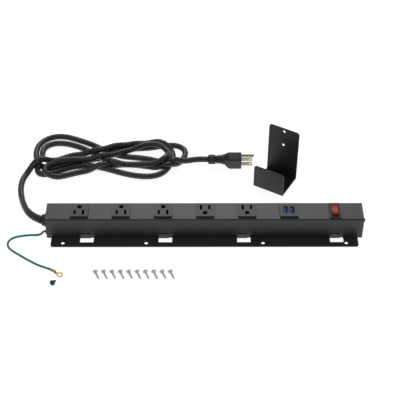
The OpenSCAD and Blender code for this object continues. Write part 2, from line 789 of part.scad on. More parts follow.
// Outer shape of the gathered lead: two lobes and a waist
module cord_hank() color("#202122") at_left_end() linear_extrude(hank_ht) {
    hull() {
        post(-9, 189, 34);
        post(-16, 141, 27);
        post(81, 160, 26);
    }
    hull() {
        post(73, 160, 26);
        post(163, 183, 31);
        post(159, 144, 30);
    }
    hull() {
        post(171, 182, 26);
        post(191, 181, 26);
    }
}

// -------------------------------------------------------------- moulded plug

module at_plug(x) {
    translate([x - body_len / 2, plug_axis_y, plug_axis_z]) rotate([plug_roll, 0, 0]) children();
}

// Outline of the plug's grip, flat towards the blades and narrower at the pin
module plug_outline() {
    w = plug_half_w;
    t = plug_half_t;
    polygon([[-w, -t + 3], [-w + 3, -t], [w - 6, -t], [w, -t + 8],
        [w, t - 8], [w - 6, t], [-w + 3, t], [-w, t - 3]]);
}

module plug_body() color(black_plastic) at_plug(plug_x) {
    rod_x(0, collar_len, collar_r);
    rod_x(collar_len, collar_len + neck_len, neck_r);
    for (k = [0:2]) rod_x(collar_len + 1.6 + 4.4 * k, collar_len + 4 + 4.4 * k, neck_r + 1);
    translate([collar_len + neck_len, 0, 0]) rotate([0, 90, 0])
        cylinder(h = flare_len, r1 = neck_r, r2 = plug_half_w + 0.4);
    along_x(collar_len + neck_len + flare_len - 1, plug_face_x - plug_x) plug_outline();
}

module plug_blades() color(brass) at_plug(plug_face_x) {
    for (s = [-1, 1]) translate([0, blade_offset - blade_w / 2, s * blade_gap / 2 - blade_t / 2]) difference() {
        cube([blade_len, blade_w, blade_t]);
        translate([blade_len - 3.2, blade_w / 2, -1]) cylinder(h = blade_t + 2, r = blade_hole_r);
    }
}

module plug_ground_pin() color(brass) at_plug(plug_face_x) translate([0, blade_offset + ground_gap, 0]) {
    rod_x(0, pin_len - pin_r, pin_r);
    translate([pin_len - pin_r, 0, 0]) sphere(pin_r);
}

// ---------------------------------------------------------------- loose kit

module ring_terminal() color("#cda94f") at_left_end()
translate([ring_x, ring_y, 0]) rotate([0, 0, ring_turn]) {
    difference() {
        union() {
            cylinder(h = ring_t, r = ring_r);
            translate([-barrel_start - 0.5, -1.8, 0]) cube([barrel_start, 3.6, ring_t]);
        }
        translate([0, 0, -1]) cylinder(h = ring_t + 2, r = ring_hole_r);
    }
    translate([0, 0, barrel_r]) rod_x(-barrel_start - barrel_len, -barrel_start, barrel_r);
}

// Pan-head screw lying on the floor, tilted until head and tip both touch it
module lying_screw(len, shank_d, head_d, head_t) {
    tilt = atan((head_d - shank_d) / (2 * len - shank_d));
    translate([0, 0, head_d / 2 * cos(tilt)]) rotate([0, tilt, 0]) {
        rod_x(0, len - shank_d / 2, shank_d / 2);
        translate([len - shank_d / 2, 0, 0]) rotate([0, 90, 0])
            cylinder(h = shank_d / 2, r1 = shank_d / 2, r2 = 0.2);
        rod_x(-head_t, 0, head_d / 2);
    }
}

module mounting_screws() color(zinc) for (i = [0:9]) {
    translate([screw_row_x + i * screw_pitch, screw_row_y, 0]) rotate([0, 0, screw_turn])
        lying_screw(screw_len, screw_d, screw_head_d, screw_head_t);
}

module ground_screw() color("#1d4a3a") at_left_end()
    translate([ground_screw_x, ground_screw_y, 0]) rotate([0, 0, ground_screw_turn])
    lying_screw(ground_screw_len, screw_d, ground_screw_head_d, screw_head_t);

// Hook that cradles the strip: back plate, floor and front lip in one strip
module wall_bracket() color(black_steel) translate([bracket_x, bracket_y, 0]) rotate([0, 0, bracket_turn]) {
    difference() {
        translate([0, bracket_dep, 0]) rotate([90, 0, 0]) linear_extrude(bracket_t) difference() {
            square([bracket_w, bracket_ht]);
            for (x = [0, bracket_w]) translate([x, bracket_ht]) corner_cut(x > 0 ? 1 : -1, bracket_corner_r);
        }
        for (z = bracket_hole_z) translate([bracket_w / 2, bracket_dep + 1, z]) rotate([90, 0, 0])
            cylinder(h = bracket_t + 2, d = bracket_hole_d);
    }
    translate([0, 0, 0]) cube([bracket_w, bracket_dep, bracket_t]);
    translate([0, bracket_t, 0]) rotate([90, 0, 0]) linear_extrude(bracket_t) difference() {
        square([bracket_w, bracket_lip]);
        for (x = [0, bracket_w]) translate([x, bracket_lip]) corner_cut(x > 0 ? 1 : -1, bracket_corner_r);
    }
}

// What is taken off a square upper corner to round it; s is -1 on the left
module corner_cut(s, r) {
    difference() {
        translate([s > 0 ? -r : -1, -r]) square([r + 1, r + 1]);
        translate([-s * r, -r]) circle(r);
    }
}

// ------------------------------------------------------------------- nodes

cover();
base_plate();
end_cap_left();
end_cap_right();
cap_screws();
for (i = [1:5]) outlet(i);
for (i = [1:5]) outlet_back(i);
line_contacts();
neutral_contacts();
ground_contacts();
line_bus();
neutral_bus();
ground_bus();
bus_holders();
usb_bezel();
usb_back();
usb_shells();
usb_tongues();
usb_board();
usb_leads();
usb_transformer();
usb_capacitors();
switch_housing();
rocker();
rocker_spring();
rocker_plunger();
contact_lever();
switch_terminals();
switch_leads();
neon_lamp();
gland();
gland_nut();
cord_end();
line_lead();
neutral_lead();
ground_lead();
cord_sleeve();
power_lead();
cord_hank();
plug_lead();
plug_body();
plug_blades();
plug_ground_pin();
ground_grommet();
ground_stud();
ground_wire();
ring_terminal();
ground_screw();
mounting_screws();
wall_bracket();
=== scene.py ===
import bpy
import numpy as np
from mathutils import Matrix


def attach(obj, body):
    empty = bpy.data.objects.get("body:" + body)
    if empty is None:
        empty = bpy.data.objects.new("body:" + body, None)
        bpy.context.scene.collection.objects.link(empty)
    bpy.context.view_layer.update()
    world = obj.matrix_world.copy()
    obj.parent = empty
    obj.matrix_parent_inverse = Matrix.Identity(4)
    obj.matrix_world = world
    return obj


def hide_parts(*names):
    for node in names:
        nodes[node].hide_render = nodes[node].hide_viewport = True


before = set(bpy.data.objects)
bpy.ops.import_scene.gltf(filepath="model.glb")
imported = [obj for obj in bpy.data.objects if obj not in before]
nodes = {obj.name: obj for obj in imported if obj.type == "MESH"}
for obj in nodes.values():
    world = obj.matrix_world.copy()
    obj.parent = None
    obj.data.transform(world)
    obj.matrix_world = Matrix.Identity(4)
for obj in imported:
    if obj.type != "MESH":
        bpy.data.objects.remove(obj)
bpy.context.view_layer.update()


# ---------------------------------------------------------------- camera and studio
# A long lens looks down on the strip from the front at 43 degrees, square to its length.
EYE = np.array([-0.0157, -1.2099, 1.1903])
LOOK = np.array([0.0052, 0.7311, -0.6823])
ROLL = np.radians(0.225)
LENS = 98.97

look = LOOK / np.linalg.norm(LOOK)
level = np.cross(look, (0, 0, 1))
level /= np.linalg.norm(level)
upward = np.cross(level, look)
right = level * np.cos(ROLL) + upward * np.sin(ROLL)
above = upward * np.cos(ROLL) - level * np.sin(ROLL)
camera = bpy.data.objects.new("camera", bpy.data.cameras.new("camera"))
camera.data.lens = LENS
camera.data.sensor_width = 36
camera.data.clip_end = 20
camera.matrix_world = Matrix([[*row, eye] for row, eye in zip(np.column_stack([right, above, -look]), EYE)]
                             + [[0, 0, 0, 1]])
bpy.context.collection.objects.link(camera)
bpy.context.scene.camera = camera

# The floor is a white sweep. It glows a little, so shadows on it stay faint.
floor_mesh = bpy.data.meshes.new("floor")
FLOOR = 6
floor_mesh.from_pydata([(-FLOOR, -FLOOR, 0), (FLOOR, -FLOOR, 0), (FLOOR, FLOOR, 0), (-FLOOR, FLOOR, 0)], [],
                       [(0, 1, 2, 3)])
floor = bpy.data.objects.new("floor", floor_mesh)
bpy.context.collection.objects.link(floor)
floor_paint = bpy.data.materials.new("floor_paint")
floor_paint.use_nodes = True
paint = floor_paint.node_tree.nodes["Principled BSDF"]
paint.inputs["Base Color"].default_value = (0.5, 0.5, 0.5, 1)
paint.inputs["Roughness"].default_value = 0.9
paint.inputs["Specular IOR Level"].default_value = 0.0
paint.inputs["Emission Color"].default_value = (1, 1, 1, 1)
paint.inputs["Emission Strength"].default_value = 0.85
floor_mesh.materials.append(floor_paint)

# White surroundings, a wide softbox over the back, and a weaker one over the front left.
world = bpy.data.worlds.new("studio")
world.use_nodes = True
world.node_tree.nodes["Background"].inputs["Color"].default_value = (1, 1, 1, 1)
world.node_tree.nodes["Background"].inputs["Strength"].default_value = 0.3
bpy.context.scene.world = world
bpy.context.scene.view_settings.view_transform = "Standard"


def softbox(name, place, target, width, height, power):
    """Hangs an area light of width by height metres at place, facing target."""
    light = bpy.data.lights.new(name, "AREA")
    light.shape = "RECTANGLE"
    light.size, light.size_y, light.energy = width, height, power
    box = bpy.data.objects.new(name, light)
    back = np.subtract(place, target) / np.linalg.norm(np.subtract(place, target))
    side = np.cross((0, 0, 1), back)
    side /= np.linalg.norm(side)
    box.matrix_world = Matrix([[*row, spot] for row, spot in
                               zip(np.column_stack([side, np.cross(back, side), back]), place)]
                              + [[0, 0, 0, 1]])
    bpy.context.collection.objects.link(box)


softbox("back_softbox", place=(0.0, 1.7, 1.6), target=(0, 0, 0), width=1.25, height=1.3, power=17.5)
softbox("front_softbox", place=(-1.0, -1.3, 1.8), target=(0, 0, 0), width=1.2, height=0.8, power=4)


# ---------------------------------------------------------------- steel cover and end caps
# The cover is folded from 1.2 mm steel sheet and the caps screw on its ends. All three are
# powder coated satin black, which leaves a fine orange peel.
def wire_up(tree, *pairs):
    """Links each pair of an output and an input."""
    for source, target in pairs:
        tree.links.new(source, target)


def make_mottle_group():
    """Group that mixes two colours in soft patches, and gives a roughness and a height from finer grain.

    colour = mix(Colour, Second Colour, patches); roughness = Smoothest + (Roughest - Smoothest) * grain;
    height = 0.75 * grain + 0.25 * patches, where both are noises of the object's own coordinates.
    """
    tree = bpy.data.node_groups.new("mottle", "ShaderNodeTree")
    face = tree.interface
    for name, kind, value in (("Colour", "NodeSocketColor", (0.1, 0.1, 0.1, 1)),
                              ("Second Colour", "NodeSocketColor", (0.12, 0.12, 0.12, 1)),
                              ("Patch Scale", "NodeSocketFloat", 60), ("Grain Scale", "NodeSocketFloat", 900),
                              ("Smoothest", "NodeSocketFloat", 0.4), ("Roughest", "NodeSocketFloat", 0.5)):
        face.new_socket(name=name, in_out="INPUT", socket_type=kind).default_value = value
    for name, kind in (("Colour", "NodeSocketColor"), ("Roughness", "NodeSocketFloat"),
                       ("Height", "NodeSocketFloat")):
        face.new_socket(name=name, in_out="OUTPUT", socket_type=kind)
    made = tree.nodes
    given, result = made.new("NodeGroupInput"), made.new("NodeGroupOutput")
    where = made.new("ShaderNodeTexCoord")
    patches, grain = made.new("ShaderNodeTexNoise"), made.new("ShaderNodeTexNoise")
    patches.inputs["Detail"].default_value = 3
    grain.inputs["Detail"].default_value = 4
    grain.inputs["Roughness"].default_value = 0.6
    mix = made.new("ShaderNodeMix")
    mix.data_type = "RGBA"
    rough = made.new("ShaderNodeMapRange")
    rough.inputs["From Min"].default_value, rough.inputs["From Max"].default_value = 0.3, 0.7
    height = made.new("ShaderNodeMix")
    height.inputs["Factor"].default_value = 0.25
    wire_up(tree, (where.outputs["Object"], patches.inputs["Vector"]),
            (where.outputs["Object"], grain.inputs["Vector"]),
            (given.outputs["Patch Scale"], patches.inputs["Scale"]),
            (given.outputs["Grain Scale"], grain.inputs["Scale"]),
            (patches.outputs["Fac"], mix.inputs["Factor"]),
            (given.outputs["Colour"], mix.inputs[6]), (given.outputs["Second Colour"], mix.inputs[7]),
            (grain.outputs["Fac"], rough.inputs["Value"]),
            (given.outputs["Smoothest"], rough.inputs["To Min"]),
            (given.outputs["Roughest"], rough.inputs["To Max"]),
            (grain.outputs["Fac"], height.inputs[2]), (patches.outputs["Fac"], height.inputs[3]),
            (mix.outputs[2], result.inputs["Colour"]), (rough.outputs["Result"], result.inputs["Roughness"]),
            (height.outputs[0], result.inputs["Height"]))
    return tree


mottle = make_mottle_group()


def surface(name, colour, second, patch, grain, smooth, rough, bump, lift=0.00008, **sockets):
    """Material whose colour, roughness and bump come from the mottle group.

    patch and grain are the noises' scales per metre, smooth and rough the ends of the roughness,
    and bump the strength of a relief of lift metres. Any further argument is a constant of the
    shader, such as Metallic or Specular_IOR_Level.
    """
    material = bpy.data.materials.new(name)
    material.use_nodes = True
    tree = material.node_tree
    shader = tree.nodes["Principled BSDF"]
    group = tree.nodes.new("ShaderNodeGroup")
    group.node_tree = mottle
    group.inputs["Colour"].default_value = (*colour, 1)
    group.inputs["Second Colour"].default_value = (*second, 1)
    group.inputs["Patch Scale"].default_value = patch
    group.inputs["Grain Scale"].default_value = grain
    group.inputs["Smoothest"].default_value = smooth
    group.inputs["Roughest"].default_value = rough
    bumps = tree.nodes.new("ShaderNodeBump")
    bumps.inputs["Strength"].default_value = bump
    bumps.inputs["Distance"].default_value = lift
    wire_up(tree, (group.outputs["Colour"], shader.inputs["Base Color"]),
            (group.outputs["Roughness"], shader.inputs["Roughness"]),
            (group.outputs["Height"], bumps.inputs["Height"]),
            (bumps.outputs["Normal"], shader.inputs["Normal"]))
    for socket, value in sockets.items():
        shader.inputs[socket.replace("_", " ")].default_value = value
    return material


def finish_nodes(material, *names):
    """Gives each named CAD node the material on all its slots."""
    for name in names:
        for slot in nodes[name].material_slots:
            slot.material = material


powder_coat = surface("black_powder_coat", (0.017, 0.018, 0.019), (0.023, 0.024, 0.025), 25, 1100, 0.36, 0.46,
                      0.35, Specular_IOR_Level=0.5)
finish_nodes(powder_coat, "cover", "end_cap_left", "end_cap_right")
black_oxide = surface("black_oxide", (0.02, 0.02, 0.022), (0.035, 0.034, 0.034), 300, 2000, 0.35, 0.5, 0.3,
                      Metallic=0.6)
finish_nodes(black_oxide, "cap_screws")


# ---------------------------------------------------------------- base plate and flanges
# One steel sheet closes the underside and runs out as the two flanges. Its slots' tabs are folded
# up from the same sheet. It is powder coated black like the cover, and its colour is made a shade greyer as
# painted light that lightens the flanges.
painted_light_plate_coat = surface("painted_light_powder_coat", (0.034, 0.035, 0.036), (0.043, 0.044, 0.045), 25, 1100, 0.40, 0.50,
                     0.35, Specular_IOR_Level=0.5)
finish_nodes(painted_light_plate_coat, "base_plate")


# ---------------------------------------------------------------- outlets
# Each outlet is a moulded face that snaps into the cover, on a deep cup. The black plastic is
# spark-eroded matte, a little greyer than the coat.
outlet_plastic = surface("outlet_plastic", (0.026, 0.027, 0.029), (0.034, 0.035, 0.037), 60, 1500,
                         0.44, 0.54, 0.4, Specular_IOR_Level=0.6)
finish_nodes(outlet_plastic, *[f"outlet_{k}" for k in range(1, 6)])
cup_plastic = surface("cup_plastic", (0.02, 0.02, 0.021), (0.028, 0.028, 0.03), 70, 1300, 0.5, 0.62, 0.4)
finish_nodes(cup_plastic, *[f"outlet_back_{k}" for k in range(1, 6)], "bus_holders", "usb_back",
             "switch_housing")

# Stamped contacts and bus bars
sheet_brass = surface("sheet_brass", (0.62, 0.43, 0.16), (0.5, 0.33, 0.12), 180, 1500, 0.25, 0.42, 0.2,
                      Metallic=1.0)
finish_nodes(sheet_brass, "line_contacts", "neutral_contacts", "ground_contacts", "line_bus", "neutral_bus",
             "ground_bus", "switch_terminals", "usb_leads", "ground_stud")
sheet_copper = surface("sheet_copper", (0.6, 0.3, 0.16), (0.48, 0.22, 0.1), 180, 1500, 0.25, 0.42, 0.2,
                       Metallic=1.0)
finish_nodes(sheet_copper, "contact_lever")


# ---------------------------------------------------------------- charger
# Two pressed steel shells with blue tongues stand in a moulded face; the board behind them
# carries a taped transformer and two capacitors.
finish_nodes(outlet_plastic, "usb_bezel")
# The shells' steel is given a dark colour, painted shade for the inside of the ports
painted_shade_shell_steel = surface("painted_shade_shell_steel", (0.10, 0.11, 0.12), (0.06, 0.065, 0.07), 300, 2500, 0.3, 0.45, 0.2,
                      Metallic=1.0)
finish_nodes(painted_shade_shell_steel, "usb_shells")
board_mask = surface("board_mask", (0.02, 0.15, 0.06), (0.03, 0.2, 0.08), 200, 2500, 0.25, 0.4, 0.2)
finish_nodes(board_mask, "usb_board")
winding_tape = surface("winding_tape", (0.7, 0.54, 0.1), (0.6, 0.44, 0.07), 150, 1200, 0.35, 0.5, 0.3)
finish_nodes(winding_tape, "usb_transformer")
can_sleeve = surface("can_sleeve", (0.04, 0.05, 0.09), (0.06, 0.07, 0.12), 200, 1500, 0.3, 0.45, 0.2)
finish_nodes(can_sleeve, "usb_capacitors")


# ---------------------------------------------------------------- switch
# The case snaps into the cover. The rocker is moulded in clear red over a neon lamp, and a
# sprung plunger under it tips the contact lever.
bright_zinc = surface("bright_zinc", (0.78, 0.78, 0.76), (0.6, 0.6, 0.58), 400, 2500, 0.42, 0.55, 0.2,
                      Metallic=0.55)
finish_nodes(bright_zinc, "rocker_spring", "gland_nut")
nylon = surface("nylon", (0.75, 0.75, 0.72), (0.7, 0.7, 0.66), 200, 1500, 0.4, 0.5, 0.2)
finish_nodes(nylon, "rocker_plunger")
lamp_glass = surface("lamp_glass", (0.9, 0.6, 0.4), (0.85, 0.5, 0.3), 200, 1500, 0.08, 0.14, 0.1,
                     Transmission_Weight=0.8, IOR=1.47)
finish_nodes(lamp_glass, "neon_lamp")


# ---------------------------------------------------------------- inner wiring
# Stranded cores in coloured extruded insulation join the lead to the bus bars.
white_core = surface("white_core", (0.78, 0.78, 0.75), (0.72, 0.72, 0.68), 120, 1500, 0.35, 0.45, 0.2)
finish_nodes(white_core, "neutral_lead")
black_core = surface("black_core", (0.02, 0.02, 0.021), (0.03, 0.03, 0.032), 120, 1500, 0.35, 0.45, 0.2)
finish_nodes(black_core, "line_lead", "switch_leads")
green_core = surface("green_core", (0.008, 0.15, 0.10), (0.006, 0.11, 0.075), 120, 1500, 0.34, 0.44, 0.2)
finish_nodes(green_core, "ground_lead")


# ---------------------------------------------------------------- power lead
# A round rubber lead of 10 mm whose three twisted cores print through its jacket as slanting
# ridges. It leaves the strain relief, goes round the back and lies in a figure-eight hank.
MM = 0.001
CORD_D = 10 * MM
STRIP_END = -241
LEAD = [(-7.6, 0, 19.5), (-10, 0, 19.5), (-15, 3, 19.3), (-20, 8, 18.6), (-25, 14, 17.4), (-29, 20, 16),
        (-35, 29, 13.9), (-40, 42, 10.8), (-44.5, 56, 7.8), (-48, 69, 6), (-50.5, 82, 5.2),
        (-51, 94, 5.2), (-50, 106, 5.8), (-47, 119, 8), (-39, 131, 12), (-29, 139, 17), (-16, 146, 19)]
# First run over the top to the right-hand loops, and back underneath to the left tip
RUN_OUT = [(-244, 153, 17), (-230, 161, 14), (-216, 168, 13), (-200, 170, 14), (-184, 168, 16),
           (-168, 168, 17), (-155, 172, 15), (-142, 178, 14), (-129, 184, 15), (-115, 190, 16),
           (-100, 195, 16), (-86, 196, 16), (-72, 192, 18), (-61, 186, 15), (-54, 178, 11), (-51, 169, 8),
           (-53, 157, 6), (-56, 146, 5), (-60, 136, 5), (-66, 127, 5), (-76, 120, 5), (-90, 117, 5),
           (-106, 118, 5), (-122, 121, 5), (-141, 128, 5), (-160, 135, 5), (-175, 140, 5), (-189, 142, 6),
           (-204, 141, 5), (-221, 136, 5), (-240, 128, 5), (-251, 124, 5), (-260, 121, 5)]
# Up round the inner left loop, across to the inner right loop and back
INNER_TURN = [(-268, 124, 7), (-271, 132, 9), (-268, 142, 11), (-264, 155, 11), (-266, 170, 11),
              (-266, 181, 11), (-262, 189, 12), (-254, 195, 12), (-245, 198, 11), (-233, 198, 8),
              (-218, 194, 6), (-205, 188, 6), (-192, 180, 7), (-180, 170, 10), (-169, 158, 15),
              (-160, 149, 18), (-148, 143, 18), (-135, 140, 14), (-120, 139, 12), (-106, 138, 11),
              (-92, 138, 12), (-79, 140, 15), (-69, 144, 18), (-62, 150, 19), (-59, 159, 20),
              (-60, 169, 20), (-66, 178, 20), (-75, 184, 18), (-86, 186, 16), (-99, 184, 14),
              (-113, 179, 13), (-128, 172, 14), (-143, 164, 15), (-156, 157, 17), (-168, 153, 19),
              (-182, 151, 17), (-198, 150, 14), (-215, 146, 13), (-231, 141, 14), (-244, 137, 15)]
# A short fold on the left, the lowest run, and the widest loop on the right
LOW_TURN = [(-254, 132, 15), (-259, 125, 14), (-256, 119, 12), (-247, 116, 9), (-236, 116, 6),
            (-222, 120, 5), (-207, 125, 5), (-192, 129, 7), (-180, 133, 10), (-168, 136, 13),
            (-158, 139, 12), (-146, 143, 9), (-132, 145, 6), (-115, 144, 5), (-98, 142, 6), (-83, 139, 8),
            (-69, 137, 10), (-57, 138, 11), (-47, 144, 9), (-39, 154, 6), (-33, 165, 5), (-31, 175, 5),
            (-34, 184, 7), (-42, 190, 9), (-54, 193, 9), (-68, 192, 10), (-82, 189, 11), (-96, 186, 11),
            (-110, 186, 9), (-123, 183, 7)]
# Back to the widest loop on the left, and along the middle to the plug
LAST_TURN = [(-136, 178, 6), (-147, 172, 7), (-157, 166, 8), (-168, 162, 6), (-182, 158, 5),
             (-200, 153, 5), (-219, 146, 5), (-236, 139, 5), (-248, 136, 5), (-258, 137, 5),
             (-266, 144, 5), (-272, 155, 5), (-275, 167, 5), (-276, 180, 5), (-274, 192, 6),
             (-268, 202, 7), (-260, 210, 9), (-250, 215, 9), (-239, 216, 8), (-226, 214, 6),
             (-212, 208, 5), (-194, 200, 5), (-179, 191, 5), (-164, 181, 5), (-151, 173, 6),
             (-140, 168, 7), (-126, 165, 5), (-110, 162, 5), (-93, 159, 5), (-76, 154, 8), (-62, 148, 12),
             (-48, 145, 15), (-36, 146, 14), (-22, 148, 13.4), (-8, 148, 13.8), (3, 147.8, 14),
             (7, 147.8, 14)]


def smooth_line(points, step):
    """Even points a step apart along a Catmull-Rom curve through the given points.

    Between p1 and p2 a point is half of 2 p1 + (p2 - p0) t + (2 p0 - 5 p1 + 4 p2 - p3) t^2
    + (3 p1 - p0 - 3 p2 + p3) t^3.
    """
    given = np.asarray(points, float)
    given = np.vstack([2 * given[0] - given[1], given, 2 * given[-1] - given[-2]])
    p0, p1, p2, p3 = (given[k:len(given) - 3 + k, None] for k in range(4))
    t = np.linspace(0, 1, 24, endpoint=False)[None, :, None]
    curve = 0.5 * (2 * p1 + (p2 - p0) * t + (2 * p0 - 5 * p1 + 4 * p2 - p3) * t ** 2
                   + (3 * p1 - p0 - 3 * p2 + p3) * t ** 3)
    curve = np.vstack([curve.reshape(-1, 3), given[-2:-1]])
    along = np.append(0, np.cumsum(np.linalg.norm(np.diff(curve, axis=0), axis=1)))
    even = np.linspace(0, along[-1], int(along[-1] / step) + 1)
    return np.column_stack([np.interp(even, along, curve[:, k]) for k in range(3)])


def settle(line, thick, step, held, rounds):
    """Lets a lead lie on itself and on the floor.

    Each round every free point sinks a little. Of two stretches nearer than nine tenths of its
    thickness, which lets soft rubber press in, the higher one moves up and the lower one down.
    Points within 2.5 thicknesses along the lead don't count. Then every point's height goes half
    way to the mean of its neighbours'. The first held points and the last ten stay.
    """
    apart, neighbour_len, share, sink, last = 0.9 * thick, 2.5 * thick, 0.4, 0.1 * MM, 10
    line = line.copy()
    count = np.arange(len(line))
    neighbours = np.abs(count[:, None] - count[None]) * step < neighbour_len
    free = (count >= held) & (count < len(line) - last)
    flat = np.linalg.norm(line[:, None, :2] - line[None, :, :2], axis=2)
    reach = np.sqrt(np.maximum(apart ** 2 - flat ** 2, 0))
    reach[neighbours] = 0
    for _ in range(rounds):
        rise = line[:, 2, None] - line[None, :, 2]
        short = np.maximum(reach - np.abs(rise), 0)
        up = np.where(rise > 0, short, 0).max(1)
        down = np.where(rise < 0, short, 0).max(1)
        line[free, 2] += share * (up - down)[free] - sink
        middle = (line[:-2, 2] + line[2:, 2]) / 2
        line[1:-1, 2] = np.where(free[1:-1], (line[1:-1, 2] + middle) / 2, line[1:-1, 2])
        line[:, 2] = np.maximum(line[:, 2], thick / 2)
    return line


def eased(line, rounds):
    """Takes short waves out of a line and keeps its long bends.

    Each round moves every inner point half way to the mean of its two neighbours and then, from
    where that leaves it, 0.53 of the way out again.
    """
    line = line.copy()
    for _ in range(rounds):
        for share in (0.5, -0.53):
            line[1:-1] += share * ((line[:-2] + line[2:]) / 2 - line[1:-1])
    return line


def frame_along(line):
    """Tangent, sideways and upward directions along a line that never stands upright."""
    ahead = np.gradient(line, axis=0)
    ahead /= np.linalg.norm(ahead, axis=1)[:, None]
    aside = np.cross((0, 0, 1), ahead)
    aside /= np.linalg.norm(aside, axis=1)[:, None]
    return ahead, aside, np.cross(ahead, aside)


def carried_rings(line, radius):
    """Rings round a line: ring i, point j is line[i] + radius[i, j] (cos a_j aside + sin a_j up)."""
    _, aside, up = frame_along(line)
    angle = np.linspace(0, 2 * np.pi, radius.shape[1], endpoint=False)
    return (line[:, None] + radius[..., None] * (np.cos(angle)[None, :, None] * aside[:, None]
                                                  + np.sin(angle)[None, :, None] * up[:, None]))


def skin(name, ring_sets, material):
    """Object in metres from sets of rings (rings, points, 3), each closed round and at both ends."""
    points, faces, first = [], [], 0
    for rings in ring_sets:
        rows, around = rings.shape[:2]
        here = first + (np.arange(rows - 1)[:, None] * around + np.arange(around)[None])
        over = first + (np.arange(rows - 1)[:, None] * around + (np.arange(around)[None] + 1) % around)
        faces += np.stack([here, over, over + around, here + around], -1).reshape(-1, 4).tolist()
        faces += [(first + np.arange(around)[::-1]).tolist(),
                  (first + (rows - 1) * around + np.arange(around)).tolist()]
        points.append(rings.reshape(-1, 3))
        first += rows * around
    mesh = bpy.data.meshes.new(name)
    mesh.from_pydata(np.vstack(points), [], faces)
    mesh.polygons.foreach_set("use_smooth", [True] * len(mesh.polygons))
    mesh.materials.append(material)
    piece = bpy.data.objects.new(name, mesh)
    bpy.context.collection.objects.link(piece)
    return piece


def keep_edges(piece, degrees):
    """Leaves a crease where two faces meet at more than the given angle."""
    piece.data.set_sharp_from_angle(angle=np.radians(degrees))


lead_route = np.array(LEAD, float) + (STRIP_END, 0, 0)
route = np.vstack([lead_route, RUN_OUT, INNER_TURN, LOW_TURN, LAST_TURN]) * MM
HANK_STEP = 3 * MM
ROUTE_ROUNDS, SETTLE_ROUNDS, LAST_ROUNDS = 60, 120, 12
FREE_FROM = 24   # the first points hang from the strain relief
lead_line = smooth_line(eased(smooth_line(route, 2 * HANK_STEP), ROUTE_ROUNDS), HANK_STEP)
lead_line = settle(lead_line, CORD_D, HANK_STEP, FREE_FROM, SETTLE_ROUNDS)
lead_line = smooth_line(eased(smooth_line(lead_line, 2 * HANK_STEP), LAST_ROUNDS), HANK_STEP)
lead_line[:, 2] = np.maximum(lead_line[:, 2], CORD_D / 2)
fine_line = smooth_line(lead_line, 1.5 * MM)
lead_len = np.linalg.norm(np.diff(fine_line, axis=0), axis=1).sum()

# Six ridges wind round the jacket once in 36 mm and stand 0.44 mm high.
LAY_LENGTH = 36 * MM
RIDGES = 6
RIDGE_HT = 0.22 * MM
LEAD_AROUND = 36
angle = np.linspace(0, 2 * np.pi, LEAD_AROUND, endpoint=False)
along = np.linspace(0, lead_len, len(fine_line))
wind = RIDGES * (angle[None] - 2 * np.pi * along[:, None] / LAY_LENGTH)
jacket_r = CORD_D / 2 - RIDGE_HT + RIDGE_HT * np.cos(wind)

jacket = surface("jacket_rubber", (0.020, 0.021, 0.022), (0.030, 0.031, 0.032), 90, 1600, 0.28, 0.42, 0.3,
                 Specular_IOR_Level=0.5)
power_cord = skin("power_cord", [carried_rings(fine_line, jacket_r)], jacket)
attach(power_cord, "strip")
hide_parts("power_lead", "cord_hank", "plug_lead")
finish_nodes(jacket, "cord_end")


# ---------------------------------------------------------------- sleeve of the lead
# A rubber sleeve is moulded over the lead where it leaves the strain relief. It tapers over
# 38 mm and seven shallow grooves let it bend.
SLEEVE_LEN = 38 * MM
SLEEVE_R = 6.4 * MM
SLEEVE_END_R = 5.25 * MM
GROOVES = 7
GROOVE_DEP = 0.25 * MM
sleeve_line = fine_line[along < SLEEVE_LEN]
share = np.linspace(0, 1, len(sleeve_line))
sleeve_r = (SLEEVE_R + (SLEEVE_END_R - SLEEVE_R) * share
            - GROOVE_DEP * (np.cos(2 * np.pi * share * GROOVES) > 0.6))
sleeve_rubber = surface("sleeve_rubber", (0.014, 0.015, 0.015), (0.02, 0.021, 0.021), 120, 1600,
                        0.42, 0.55, 0.3)
lead_sleeve = skin("lead_sleeve", [carried_rings(sleeve_line, np.repeat(sleeve_r[:, None], LEAD_AROUND, 1))],
                   sleeve_rubber)
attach(lead_sleeve, "strip")
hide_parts("cord_sleeve")


# ---------------------------------------------------------------- strain relief
# A black nylon gland screws into the end cap: a flat collar against the steel, a smaller cap
# with a rounded lip, and a thread inside for the nut.
GLAND_Z = 19.5 * MM


def turned(profile, centre, around=48):
    """Rings about the X axis through centre, for a profile of (x, radius) in mm."""
    x, r = np.array(profile, float).T * MM
    angle = np.linspace(0, 2 * np.pi, around, endpoint=False)
    rings = np.zeros((len(x), around, 3))
    rings[..., 0] = x[:, None]
    rings[..., 1] = r[:, None] * np.cos(angle)
    rings[..., 2] = r[:, None] * np.sin(angle)
    return rings + np.asarray(centre)


def rounded(profile, size, bends=4):
    """Replaces each inner corner of an open profile by an arc-like curve of the given size.

    Each corner b between a and c becomes (1 - t)^2 p + 2 t (1 - t) b + t^2 q, with p and q on its
    two sides, size away or half way along a short side.
    """
    p = np.array(profile, float)
    out = [p[:1]]
    t = np.linspace(0, 1, bends)[:, None]
    for a, b, c in zip(p[:-2], p[1:-1], p[2:]):
        one, two = np.linalg.norm(a - b), np.linalg.norm(c - b)
        start = b + (a - b) * min(size, one / 2) / one
        stop = b + (c - b) * min(size, two / 2) / two
        out.append((1 - t) ** 2 * start + 2 * t * (1 - t) * b + t ** 2 * stop)
    return np.vstack(out + [p[-1:]])


